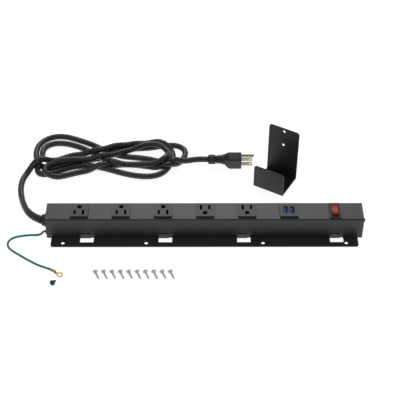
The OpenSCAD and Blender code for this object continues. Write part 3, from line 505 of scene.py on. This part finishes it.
gland_profile = rounded([(-248.6, 5.6), (-248.6, 8.6), (-247.6, 8.9), (-244.9, 9.3), (-244.4, 8.5),
                         (-244.2, 10.3), (-243.9, 10.7), (-241.0, 10.7), (-241.0, 7.95), (-229.5, 7.95),
                         (-229.0, 5.6)], 0.4)
gland_plastic = surface("gland_plastic", (0.018, 0.019, 0.02), (0.026, 0.027, 0.028), 90, 1500,
                        0.36, 0.46, 0.3)
gland_shell = skin("gland_shell", [turned(gland_profile, (0, 0, GLAND_Z))], gland_plastic)
keep_edges(gland_shell, 35)
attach(gland_shell, "strip")
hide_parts("gland")


# ---------------------------------------------------------------- rocker
# The rocker is a dished cap moulded in clear red, a deep red. Its middle is painted a bright red,
# a painted highlight of the studio light on the glossy dish.
ROCKER_X = 198
PIVOT_Z = 37.6
ROCKER_REST = np.radians(-9)
HALF_L = 12.2
HALF_W = 5.5
rocker_side = rounded([(0, -3.4), (-4.5, -3.4), (-HALF_L + 0.4, -1.5), (-HALF_L, 5.2), (-HALF_L + 1.6, 5.4),
                       (-4, 3.1), (0, 2.5), (4, 3.1), (HALF_L - 1.6, 5.4), (HALF_L, 5.2), (HALF_L - 0.4, -1.5),
                       (4.5, -3.4), (0, -3.4)], 0.7, 5)[:-1]
rocker_x = np.array([-HALF_W, -HALF_W + 0.08, -HALF_W + 0.3, -HALF_W + 0.7, -4, -3, -2, -1, 0, 1, 2, 3, 4,
                     HALF_W - 0.7, HALF_W - 0.3, HALF_W - 0.08, HALF_W])
drawn_in = 0.035 * np.clip((np.abs(rocker_x) - HALF_W + 0.5) / 0.5, 0, 1) ** 2
side_y = rocker_side[None, :, 0] * (1 - drawn_in[:, None])
side_z = rocker_side[None, :, 1] * (1 - 2 * drawn_in[:, None])
rocker_rings = np.stack([ROCKER_X + rocker_x[:, None] + 0 * side_y,
                         side_y * np.cos(ROCKER_REST) - side_z * np.sin(ROCKER_REST),
                         PIVOT_Z + side_y * np.sin(ROCKER_REST) + side_z * np.cos(ROCKER_REST)], -1) * MM
red_lens = surface("red_lens", (0.22, 0.007, 0.009), (0.17, 0.005, 0.007), 220, 1800, 0.42, 0.52, 0.15,
                   Specular_IOR_Level=0.4)
rocker_cap = skin("rocker_cap", [rocker_rings], red_lens)
keep_edges(rocker_cap, 50)
# Painted highlight: a mask that is 1 in the middle of the dish's top and fades to 0 towards its rim
painted_highlight = (np.clip((HALF_W - 1.0 - np.abs(rocker_x)) / 1.6, 0, 1)[:, None]
        * np.clip((HALF_L - 2.6 - np.abs(side_y)) / 3, 0, 1) * (side_z > 0))
rocker_cap.data.attributes.new("painted_highlight", "FLOAT", "POINT").data.foreach_set("value", painted_highlight.ravel())
lens_tree = red_lens.node_tree
read_painted_highlight = lens_tree.nodes.new("ShaderNodeAttribute")
read_painted_highlight.attribute_name = "painted_highlight"
# The painted highlight's bright red, mixed over the lens colour by the mask
painted_highlight_mix = lens_tree.nodes.new("ShaderNodeMix")
painted_highlight_mix.data_type = "RGBA"
painted_highlight_mix.inputs[7].default_value = (0.62, 0.055, 0.055, 1)
lens_shader = lens_tree.nodes["Principled BSDF"]
wire_up(lens_tree, (read_painted_highlight.outputs["Fac"], painted_highlight_mix.inputs["Factor"]),
        (lens_shader.inputs["Base Color"].links[0].from_socket, painted_highlight_mix.inputs[6]),
        (painted_highlight_mix.outputs[2], lens_shader.inputs["Base Color"]))
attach(rocker_cap, "rocker")
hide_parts("rocker")


# ---------------------------------------------------------------- charger tongues and port rims
# Each port's blue tongue carries the contacts along one side, and is moulded. A dark blue rim
# round each shell is painted shade, standing in for the dark recess round the opening.
USB_X = 128.1
PORTS = (-4.85, 4.85)
PORT_HALF = (2.72, 6.42)
TONGUE_LOW = np.array([-2.35, -5.8, 24.2])
TONGUE_HIGH = np.array([0.75, 5.8, 40.6])
TONGUE_EDGE = 0.25


def rounded_box(low, high, edge, around=40):
    """Rings of an upright box: outlines |x/a|^8 + |y/b|^8 = 1, drawn in by edge at top and bottom."""
    (x0, y0, z0), (x1, y1, z1) = low, high
    a = np.linspace(0, 2 * np.pi, around, endpoint=False)
    bulge = (np.abs(np.cos(a)) ** 8 + np.abs(np.sin(a)) ** 8) ** (-1 / 8)
    z = np.array([z0, z0, z0 + edge, z1 - edge, z1 - 0.3 * edge, z1, z1])
    inset = edge * np.array([2, 1, 0, 0, 0.3, 1, 2])
    return np.stack([(x0 + x1) / 2 + ((x1 - x0) / 2 - inset[:, None]) * bulge * np.cos(a),
                     (y0 + y1) / 2 + ((y1 - y0) / 2 - inset[:, None]) * bulge * np.sin(a),
                     z[:, None] + 0 * a], -1) * MM


tongue_plastic = surface("tongue_plastic", (0.008, 0.085, 0.25), (0.005, 0.055, 0.18), 200, 2500,
                         0.45, 0.55, 0.2, Specular_IOR_Level=0.2)
tongues = [rounded_box(TONGUE_LOW + (USB_X + x, 0, 0), TONGUE_HIGH + (USB_X + x, 0, 0), TONGUE_EDGE)
           for x in PORTS]
usb_tongue_pair = skin("usb_tongue_pair", tongues, tongue_plastic)
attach(usb_tongue_pair, "strip")
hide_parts("usb_tongues")

# A rim's section as (outward in widths, upward in mm) from the opening's edge at the face
RIM_SECTION = np.array([(0, -0.3), (1, -0.3), (1, 0.1), (0.8, 0.22), (0.15, 0.22), (0, 0.12)])


def rim(x, y, half_w, half_d, z, wide, power=10, around=96):
    """Loop of RIM_SECTION, wide mm wide, round an opening centred on x, y at height z.

    The opening's outline is |u/half_w|^power + |v/half_d|^power = 1.
    """
    way = np.linspace(0, 2 * np.pi, around, endpoint=False)
    bulge = (np.abs(np.cos(way)) ** power + np.abs(np.sin(way)) ** power) ** (-1 / power)
    out, up = RIM_SECTION.T
    return np.stack([x + (half_w + wide * out[:, None]) * bulge * np.cos(way),
                     y + (half_d + wide * out[:, None]) * bulge * np.sin(way),
                     z + up[:, None] + 0 * way], -1) * MM


def rim_piece(name, rims, material):
    """Joins closed loops, each closed across its section as well, into one object."""
    count = np.arange(rims[0][:, :, 0].size).reshape(rims[0].shape[:2])
    over = np.roll(count, -1, 0)
    faces = np.stack([count, np.roll(count, -1, 1), np.roll(over, -1, 1), over], -1).reshape(-1, 4)
    mesh = bpy.data.meshes.new(name)
    mesh.from_pydata(np.concatenate(rims).reshape(-1, 3), [],
                     np.vstack([faces + k * count.size for k in range(len(rims))]).tolist())
    mesh.materials.append(material)
    piece = bpy.data.objects.new(name, mesh)
    bpy.context.collection.objects.link(piece)
    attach(piece, "strip")
    return piece


# Painted shade: a dark blue rim in place of the recess round each shell
painted_recess_shade = surface("painted_recess_shade", (0.003, 0.014, 0.036), (0.004, 0.02, 0.05), 200, 2500, 0.5, 0.6, 0.2,
                      Specular_IOR_Level=0.2)
FACE_Z = 41.3
RIM_WIDE = 1.0
usb_port_shade_rims = rim_piece("usb_port_shade_rims", [rim(USB_X + x, 0, *PORT_HALF, FACE_Z, RIM_WIDE) for x in PORTS],
                          painted_recess_shade)


# ---------------------------------------------------------------- painted shade round the outlets' openings
# A near-black rim round each slot and ground hole is painted shade that darkens and widens the openings.
# Two of the outlets are turned round.
FIRST_OUTLET_X = -190.4
OUTLET_PITCH = 63.7
OUTLET_TURN = (1, 1, 1, -1, -1)
# centre x, y, half width, half depth and power of the line slot, neutral slot and ground hole
HOLES = [(-6.35, -5.3, 1.25, 3.8, 10), (6.35, -5.3, 1.25, 4.6, 10), (0, 6.6, 3.2, 3.2, 2)]
SHADE_RIM_Z = FACE_Z - 0.1
SHADE_RIM_WIDE = 0.6
# Painted shade round the slots and ground holes
painted_slot_shade = surface("painted_slot_shade", (0.004, 0.004, 0.0045), (0.007, 0.007, 0.008), 200, 2500, 0.6, 0.7, 0.2,
                      Specular_IOR_Level=0.15)
slot_shade_loops = [rim(FIRST_OUTLET_X + OUTLET_PITCH * k + turn * x, turn * y, half_w, half_d, SHADE_RIM_Z, SHADE_RIM_WIDE, power)
        for k, turn in enumerate(OUTLET_TURN) for x, y, half_w, half_d, power in HOLES]
slot_shade_rims = rim_piece("slot_shade_rims", slot_shade_loops, painted_slot_shade)


# ---------------------------------------------------------------- plug
# The plug is moulded round the end of the lead: a collar, a ribbed neck, a flare with
# finger ridges, and a grip whose faces taper towards the round pin. It lies rolled on its side.
PLUG_START = 7
PLUG_AXIS = np.array([0, 147.8, 14.0]) * MM
PLUG_ROLL = np.radians(13)
GRIP_FLATS = [(0, 11.3), (180, 11.3), (90, 12.2), (-90, 12.2), (36.9, 11.56), (-36.9, 11.56), (135, 15.9),
              (-135, 15.9)]


def grip_outline(angle):
    """Radius of the grip at an angle: the flats' power mean, (sum (cos(a - f) / d)^36)^(-1/36)."""
    total = np.zeros_like(angle)
    for facing, distance in GRIP_FLATS:
        total += (np.maximum(np.cos(angle - np.radians(facing)), 0) / distance) ** 36
    return total ** (-1 / 36)


PLUG_STATIONS = rounded([(0, 4.4), (0, 7.2), (0.7, 7.9), (11.2, 7.9), (12, 7.4), (12.1, 5.6), (13.6, 5.6),
                         (13.7, 7.4), (15.9, 7.4), (16.0, 6.3), (17.6, 6.3), (17.7, 7.8), (19.9, 7.8),
                         (20.0, 6.5), (21.6, 6.5), (21.7, 8.0), (24.4, 8.2), (26, 8.4)], 0.35)
NECK_R = 8.4
# Along the grip, how far its outline has grown from the neck's round
grip_x = np.array([27, 28, 29, 30, 31, 32, 33, 34, 35, 36, 36.6, 37.4, 40, 44, 48, 51, 51.4, 52, 53.4, 54])
grip_share = np.array([.09, .2, .32, .44, .56, .68, .79, .88, .94, .985, 1, 1, 1, 1, 1, 1, .965, .985,
                       .985, .94])
FLARE_MID, FLARE_HALF = 31.5, 5.5
FINGER_RIDGE = 0.8
PLUG_AROUND = 72
angle = np.linspace(0, 2 * np.pi, PLUG_AROUND, endpoint=False)
plug_x = np.append(PLUG_STATIONS[:, 0], grip_x)
plug_r = np.vstack([np.repeat(PLUG_STATIONS[:, 1:], PLUG_AROUND, 1),
                    NECK_R + grip_share[:, None] * (grip_outline(angle)[None] - NECK_R)])
flaring = np.clip(1 - np.abs(plug_x - FLARE_MID) / FLARE_HALF, 0, 1)
plug_r += FINGER_RIDGE * flaring[:, None] * np.abs(np.cos(4 * angle))[None]
plug_rings = np.zeros((len(plug_x), PLUG_AROUND, 3))
plug_rings[..., 0] = (PLUG_START + plug_x[:, None]) * MM
plug_rings[..., 1] = plug_r * np.cos(angle + PLUG_ROLL) * MM
plug_rings[..., 2] = plug_r * np.sin(angle + PLUG_ROLL) * MM
plug_rubber = surface("plug_rubber", (0.013, 0.014, 0.015), (0.019, 0.02, 0.021), 90, 1400, 0.42, 0.54, 0.35)
plug_moulding = skin("plug_moulding", [plug_rings + PLUG_AXIS], plug_rubber)
keep_edges(plug_moulding, 30)
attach(plug_moulding, "strip")
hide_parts("plug_body")

# Blades and pin are plated brass, a little dull
plated_brass = surface("plated_brass", (0.42, 0.39, 0.30), (0.28, 0.26, 0.19), 260, 2200, 0.22, 0.4, 0.25,
                       Metallic=1.0)
finish_nodes(plated_brass, "plug_blades", "plug_ground_pin")


# ---------------------------------------------------------------- ground wire
# A single green core of 3.4 mm leaves a rubber bush low on the left end, loops over the floor
# and ends in a crimped ring terminal.
WIRE_D = 3.4 * MM
WIRE_AROUND = 20
WIRE_ROUTE = [(-1.4, -12.6, 8), (-3, -12.6, 8), (-6, -13, 6.6), (-9, -13.8, 3.8), (-13, -14.4, 2),
              (-20, -14.8, 1.8), (-29, -15.2, 1.8), (-38, -16.6, 1.8), (-47, -19, 1.8), (-54, -23.4, 1.8),
              (-57.6, -30, 1.8), (-57.4, -37, 1.8), (-53.6, -44, 1.8), (-46, -51, 1.8), (-34, -60, 1.8),
              (-21, -69.4, 1.8), (-9, -77, 1.8), (3, -83, 1.9)]
RING_TURN = np.radians(-32)
RING_SPOT = np.array([26.4, -96.4, 2.3])
CRIMP_TO_RING = 15.5
crimp_way = np.array([np.cos(RING_TURN), np.sin(RING_TURN), 0])
crimp = RING_SPOT - CRIMP_TO_RING * crimp_way
wire_points = np.vstack([WIRE_ROUTE, crimp - 2.5 * crimp_way, crimp]) + (STRIP_END, 0, 0)
wire_line = smooth_line(wire_points * MM, 1.5 * MM)
green_pvc = surface("green_pvc", (0.003, 0.270, 0.170), (0.002, 0.200, 0.125), 90, 1500, 0.36, 0.46, 0.2,
                    Specular_IOR_Level=0.35)
wire_r = np.full((len(wire_line), WIRE_AROUND), WIRE_D / 2)
earth_wire = skin("earth_wire", [carried_rings(wire_line, wire_r)], green_pvc)
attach(earth_wire, "strip")
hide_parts("ground_wire")

bush_rubber = surface("bush_rubber", (0.012, 0.04, 0.032), (0.016, 0.05, 0.04), 150, 1500, 0.45, 0.58, 0.3)
finish_nodes(bush_rubber, "ground_grommet")
ring_brass = surface("ring_brass", (0.62, 0.42, 0.17), (0.5, 0.32, 0.12), 260, 2000, 0.42, 0.55, 0.2,
                     Metallic=0.6)
finish_nodes(ring_brass, "ring_terminal")


# ---------------------------------------------------------------- screws
# Ten pan-head sheet-metal screws and one ground screw are rolled and plated. Their threads
# are one ridge that winds along the shank, and the heads have a cross recess.
SHANK_D = 4
SCREW_LEN, SCREW_HEAD_D = 14.5, 8.3
EARTH_LEN, EARTH_HEAD_D = 9, 8.4
HEAD_T = 2.6
THREAD_PITCH = 1.55
THREAD_HT = 0.3


def lying_screw(length, head_d, spot, turn):
    """Rings, in metres, of a pan-head screw that lies on its head's rim and its tip.

    Along the screw's own axis x, the shank's radius is its core plus a ridge,
    THREAD_HT * max(cos(2 pi x / pitch - a), 0)^1.5, and narrows to the tip. The head's outer face is
    a dome that drops by 1.1 mm inside a cross of two slots 1.1 mm wide. The whole is tilted until
    rim and shank touch the floor, turned about the upright, and moved to spot.
    """
    a = np.linspace(0, 2 * np.pi, 32, endpoint=False)[None]
    head_r, shank_r = head_d / 2, SHANK_D / 2
    dome_r = np.linspace(0.02, 0.86, 12)[:, None] * head_r
    across, up = dome_r * np.cos(a), dome_r * np.sin(a)
    near_cross = np.minimum(np.abs(across), np.abs(up))
    recess = 1.1 * np.clip((0.75 - near_cross) / 0.3, 0, 1) * np.clip((0.5 * head_r - dome_r) / 0.4, 0, 1)
    dome_x = -HEAD_T + 0.55 * (dome_r / head_r) ** 2 + recess
    rim_x = np.array([-HEAD_T + 0.75, -HEAD_T + 1.2, -0.5, -0.12, 0, 0])[:, None]
    rim_r = np.array([0.95, 1.0, 1.0, 0.98, 0.94, 0.55])[:, None] * head_r
    shank_x = np.linspace(0.05, length, int(length / THREAD_PITCH * 9))[:, None]
    tip = np.clip((length - shank_x) / 3.2, 0.04, 1)
    ridge = THREAD_HT * np.maximum(np.cos(2 * np.pi * shank_x / THREAD_PITCH - a), 0) ** 1.5
    shank = (shank_r - THREAD_HT + ridge) * tip
    x = np.vstack([dome_x, rim_x + 0 * a, shank_x + 0 * a])
    r = np.vstack([dome_r + 0 * a, rim_r + 0 * a, shank])
    tilt = np.arctan((head_d - SHANK_D) / (2 * length - SHANK_D))
    y, z = r * np.cos(a), r * np.sin(a)
    x, z = x * np.cos(tilt) + z * np.sin(tilt), z * np.cos(tilt) - x * np.sin(tilt) + head_r * np.cos(tilt)
    turned_x, turned_y = x * np.cos(turn) - y * np.sin(turn), x * np.sin(turn) + y * np.cos(turn)
    return np.stack([turned_x + spot[0], turned_y + spot[1], z], -1) * MM


ROW_START = np.array([-162, -94.5])
ROW_PITCH = 12.35
ROW_TURN = np.radians(-65)
row = [lying_screw(SCREW_LEN, SCREW_HEAD_D, ROW_START + (ROW_PITCH * k, 0), ROW_TURN) for k in range(10)]
screw_row = skin("screw_row", row, bright_zinc)
keep_edges(screw_row, 40)
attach(screw_row, "mounting_screws_body")
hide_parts("mounting_screws")

EARTH_SPOT = (STRIP_END + 18, -115.5)
green_coat = surface("green_coat", (0.008, 0.06, 0.048), (0.012, 0.08, 0.06), 300, 2000, 0.25, 0.4, 0.25,
                     Metallic=0.5)
earth_screw = skin("earth_screw", [lying_screw(EARTH_LEN, EARTH_HEAD_D, EARTH_SPOT, np.radians(62))],
                   green_coat)
keep_edges(earth_screw, 40)
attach(earth_screw, "ground_screw_body")
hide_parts("ground_screw")


# ---------------------------------------------------------------- wall bracket
# A hook bent from 1.5 mm steel strip, with two screw holes in its back. Its coat is a darker,
# flatter black than the body's.
bracket_coat = surface("flat_powder_coat", (0.009, 0.010, 0.010), (0.013, 0.014, 0.014), 25, 1100, 0.42, 0.52,
                       0.35, Specular_IOR_Level=0.45)
finish_nodes(bracket_coat, "wall_bracket")
